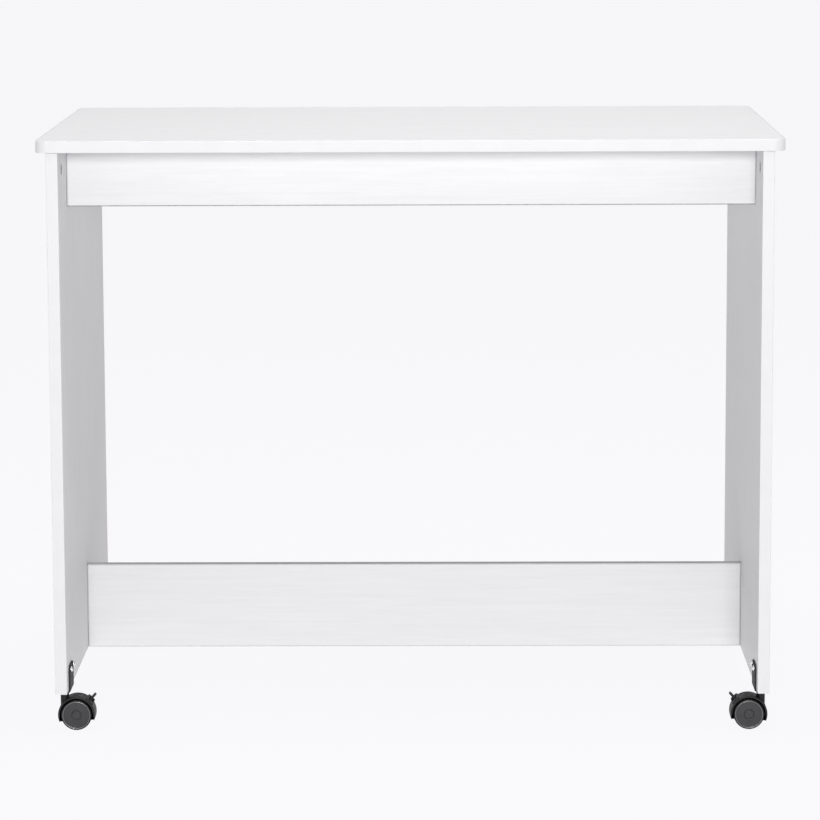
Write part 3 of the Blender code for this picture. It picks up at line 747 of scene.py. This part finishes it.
def lever_mesh():
    """The brake lever: a thumb tab with grip ribs, and a shoe as wide as both treads."""
    tip = arc(SHOE_REACH - SHOE_TIP_RADIUS, SHOE_ANGLE, SHOE_ANGLE, 1)[0]
    shoe = arc(LEVER_HUB_RADIUS, 180, -40, 24)
    shoe += arc(SHOE_TIP_RADIUS, SHOE_ANGLE + 70, SHOE_ANGLE - 70, 8, tip)
    lever = add_object("lever", finished_mesh(prism(shoe, LEVER_WIDTH, 0.0004, 3), "lever"))
    half = TAB_THICKNESS / 2
    tab = [
        (0, half),
        (LEVER_REACH - 0.0006, half + 0.0003),
        (LEVER_REACH, half - 0.0001),
        (LEVER_REACH, -half + 0.0004),
        (LEVER_REACH - 0.0005, -half + 0.0001),
        (0.0028, -half),
        (0, -half),
    ]
    combine(lever, prism(tab, TAB_WIDTH, 0.0004, 3), "UNION")
    trunnion = turned(rod(TRUNNION_RADIUS, -TRUNNION_HALF, TRUNNION_HALF), SMALL_SIDES)
    combine(lever, trunnion, "UNION", UP_IS_Y)
    for number in range(RIB_COUNT):
        rib = prism(arc(RIB_RADIUS, 0, 345, 23), TAB_WIDTH - 0.0016)
        at = Matrix.Translation((RIB_FIRST + RIB_STEP * number, 0, half + RIB_RISE * number))
        combine(lever, rib, "UNION", at)
    return settled(lever)


def axle_mesh():
    """The steel pin that both wheels turn on."""
    half = WHEEL_INNER_Y + WHEEL_WIDTH - 0.0020
    profile = rounded_profile(rod(AXLE_RADIUS, -half, half), 0.0003, 3)
    return finished_mesh(turned(profile, SMALL_SIDES), "axle")


def wheel_mesh():
    """A dished wheel with a raised rim bead, a ring groove and a hub cap. Z = 0 is its open inner side."""
    face = WHEEL_WIDTH
    bore = AXLE_RADIUS + PLAY
    tread = WHEEL_RADIUS - 0.0001
    bore_end = face - 0.0016
    disc_back = face - 0.0024
    disc_front = face - 0.0004
    hub_bore = [(0, bore_end), (bore, bore_end), (bore, GAP), (HUB_RADIUS, GAP)]
    inside = [(HUB_RADIUS + 0.0004, disc_back), (RIM_INNER - 0.0006, disc_back), (RIM_INNER, 0)]
    rim = [(tread, 0), (WHEEL_RADIUS, 0.0040), (tread, bore_end), (WHEEL_RADIUS - 0.0014, disc_front)]
    bead = [(BEAD_OUTER, face), (BEAD_OUTER - 0.0008, face), (RIM_INNER, face - 0.0007)]
    ring_groove = [(0.0070, disc_front), (0.0064, face - 0.0009), (0.0058, disc_front)]
    hub_cap = [(0.0052, face), (0, face)]
    corners = hub_bore + inside + rim + bead + ring_groove + hub_cap
    mesh = finished_mesh(turned(rounded_profile(corners, 0.0005, 3)), "wheel")
    for material in (WHEEL_PLASTIC, BEAD_HIGHLIGHT_PLASTIC, TREAD_PLASTIC):
        mesh.materials.append(material)
    for face_of_wheel in mesh.polygons:
        radius = face_of_wheel.center.xy.length
        if radius > BEAD_OUTER:
            face_of_wheel.material_index = 2
        # The bead's ring takes the lighter grey of the painted highlight.
        elif radius > BEAD_INNER:
            face_of_wheel.material_index = 1
    return mesh


def make_caster(corner, side, end, meshes):
    """One caster with its bracket. A left caster's axle is ahead along +X, a right one's along -X."""
    axle_low, axle_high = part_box("axle_" + corner)
    swivel_x = (axle_low.x + axle_high.x) / 2 + side * TRAIL
    swivel = Matrix.Translation((swivel_x, (axle_low.y + axle_high.y) / 2, 0))
    swivel = swivel @ Matrix.Rotation(0 if side < 0 else math.pi, 4, "Z")
    axle = swivel @ axle_place()
    caster = "caster_" + corner
    bracket, pin, hood = "bracket_" + corner, "king_pin_" + corner, "caster_hood_" + corner
    plate = meshes["bracket"]
    piece("bracket_plate_" + corner, bracket, plate, BRACKET_PAINT, "table", swivel)
    piece("swivel_pin_" + corner, pin, meshes["king_pin"], STEEL, "table", swivel)
    head_x = BOARD / 2 + PLATE + 2 * GAP
    for suffix, across in (("front_" + corner, side), ("rear_" + corner, -side)):
        head = swivel @ into_x(head_x, across * SCREW_SPREAD, PANEL_BOTTOM + SCREW_UP)
        node = "bracket_screw_" + suffix
        piece("screw_" + suffix, node, meshes["screw"], PLATED_STEEL, "table", head)
    braked = end < 0
    hood_shape = meshes["braked_hood"] if braked else meshes["hood"]
    piece("hood_" + corner, hood, hood_shape, HOOD_PLASTIC, caster, axle)
    axle_pin = axle @ UP_IS_Y
    piece("axle_pin_" + corner, "axle_" + corner, meshes["axle"], STEEL, caster, axle_pin)
    for wheel_name, way in (("front", side), ("rear", -side)):
        node = f"wheel_{wheel_name}_{corner}"
        wheel_at = axle @ along_y(way * WHEEL_INNER_Y, way)
        piece("tyre_" + node, node, meshes["wheel"], None, node, wheel_at)
    if braked:
        node = "brake_lever_" + corner
        lever_at = axle @ lever_pivot() @ Matrix.Rotation(-LEVER_ANGLE, 4, "Y")
        piece("pedal_" + corner, node, meshes["lever"], LEVER_PLASTIC, node, lever_at)


def make_casters():
    """The four casters. Those of one kind share their meshes."""
    meshes = {
        "bracket": bracket_mesh(),
        "screw": screw_mesh(),
        "king_pin": king_pin_mesh(),
        "hood": hood_mesh(with_brake=False),
        "braked_hood": hood_mesh(with_brake=True),
        "axle": axle_mesh(),
        "wheel": wheel_mesh(),
        "lever": lever_mesh(),
    }
    for side_name, side in SIDES.items():
        for end_name, end in ENDS.items():
            make_caster(f"{end_name}_{side_name}", side, end, meshes)


# --- Studio --------------------------------------------------------------------------------------------

STUDIO_WHITE = (0.945, 0.935, 0.955)
FLOOR_SIZE = 60
FLOOR_GLOW = 0.974
SKY_STRENGTH = 0.18
BACKDROP_RISE = 0.075

# Softboxes: name, place, point aimed at, width, height and power in watts.
SOFTBOXES = (
    ("Front_softbox", (0.2, -9.1, 2.04), (0, 0, 0.4), 2.1, 1.05, 388),
    ("Top_softbox", (0.2, -0.3, 4.0), (0, 0, 0.4), 2.5, 2.5, 137),
    ("Low_fill", (0.0, -5.2, 0.3), (0, 0, 0.1), 1.2, 0.4, 17),
)

# The camera: its place, the focal length in millimetres, and its angles in degrees.
CAMERA_AT = (0.0488, -5.0027, 1.1435)
CAMERA_LENS = 163.7
CAMERA_SENSOR = 36.0
CAMERA_HEADING = 0.609
CAMERA_DOWN = 8.677
CAMERA_ROLL = -0.230


def make_floor():
    """A pale floor that glows a little, so that it melts into the backdrop."""
    bm = bmesh.new()
    bmesh.ops.create_grid(bm, x_segments=1, y_segments=1, size=FLOOR_SIZE)
    floor = add_object("Studio_floor", finished_mesh(bm, "studio_floor"))
    pale = (0.030, 0.0295, 0.0305)
    material, tree, shader = new_material("Pale_floor", pale, 0.9, specular=0.0)
    shader.inputs["Emission Color"].default_value = (*STUDIO_WHITE, 1.0)
    shader.inputs["Emission Strength"].default_value = FLOOR_GLOW
    mottle = noise(tree, (0.8, 0.8, 0.8), detail=2.0)
    tree.links.new(mix_color(tree, mottle, pale, (0.033, 0.0325, 0.0335)), shader.inputs["Base Color"])
    floor.data.materials.append(material)


def make_world():
    """A backdrop as pale as the floor up to a low height, and a dim sky above it."""
    world = bpy.data.worlds.new("Studio")
    world.use_nodes = True
    background = world.node_tree.nodes["Background"]
    background.inputs["Color"].default_value = (*STUDIO_WHITE, 1.0)
    tree = world.node_tree
    direction = tree.nodes.new("ShaderNodeTexCoord")
    split = tree.nodes.new("ShaderNodeSeparateXYZ")
    tree.links.new(direction.outputs["Generated"], split.inputs["Vector"])
    strength = remap(tree, split.outputs["Z"], BACKDROP_RISE, 2 * BACKDROP_RISE, 1.0, SKY_STRENGTH)
    tree.links.new(strength, background.inputs["Strength"])
    bpy.context.scene.world = world


def softbox(name, at, aim, width, height, power):
    """A rectangular area light that the camera doesn't see."""
    data = bpy.data.lights.new(name, "AREA")
    data.shape = "RECTANGLE"
    data.size = width
    data.size_y = height
    data.energy = power
    light = bpy.data.objects.new(name, data)
    bpy.context.scene.collection.objects.link(light)
    light.location = at
    light.rotation_euler = (Vector(aim) - Vector(at)).to_track_quat("-Z", "Y").to_euler()
    light.visible_camera = False


def make_camera():
    data = bpy.data.cameras.new("Camera")
    data.sensor_width = CAMERA_SENSOR
    data.lens = CAMERA_LENS
    data.clip_end = 200.0
    camera = bpy.data.objects.new("Camera", data)
    bpy.context.scene.collection.objects.link(camera)
    heading = Matrix.Rotation(math.radians(CAMERA_HEADING), 4, "Z")
    tilt = Matrix.Rotation(math.radians(90 - CAMERA_DOWN), 4, "X")
    roll = Matrix.Rotation(math.radians(CAMERA_ROLL), 4, "Z")
    camera.matrix_world = Matrix.Translation(CAMERA_AT) @ heading @ tilt @ roll
    bpy.context.scene.camera = camera


make_boards()
make_casters()
make_floor()
make_world()
for box in SOFTBOXES:
    softbox(*box)
make_camera()
bpy.context.scene.view_settings.view_transform = "Standard"
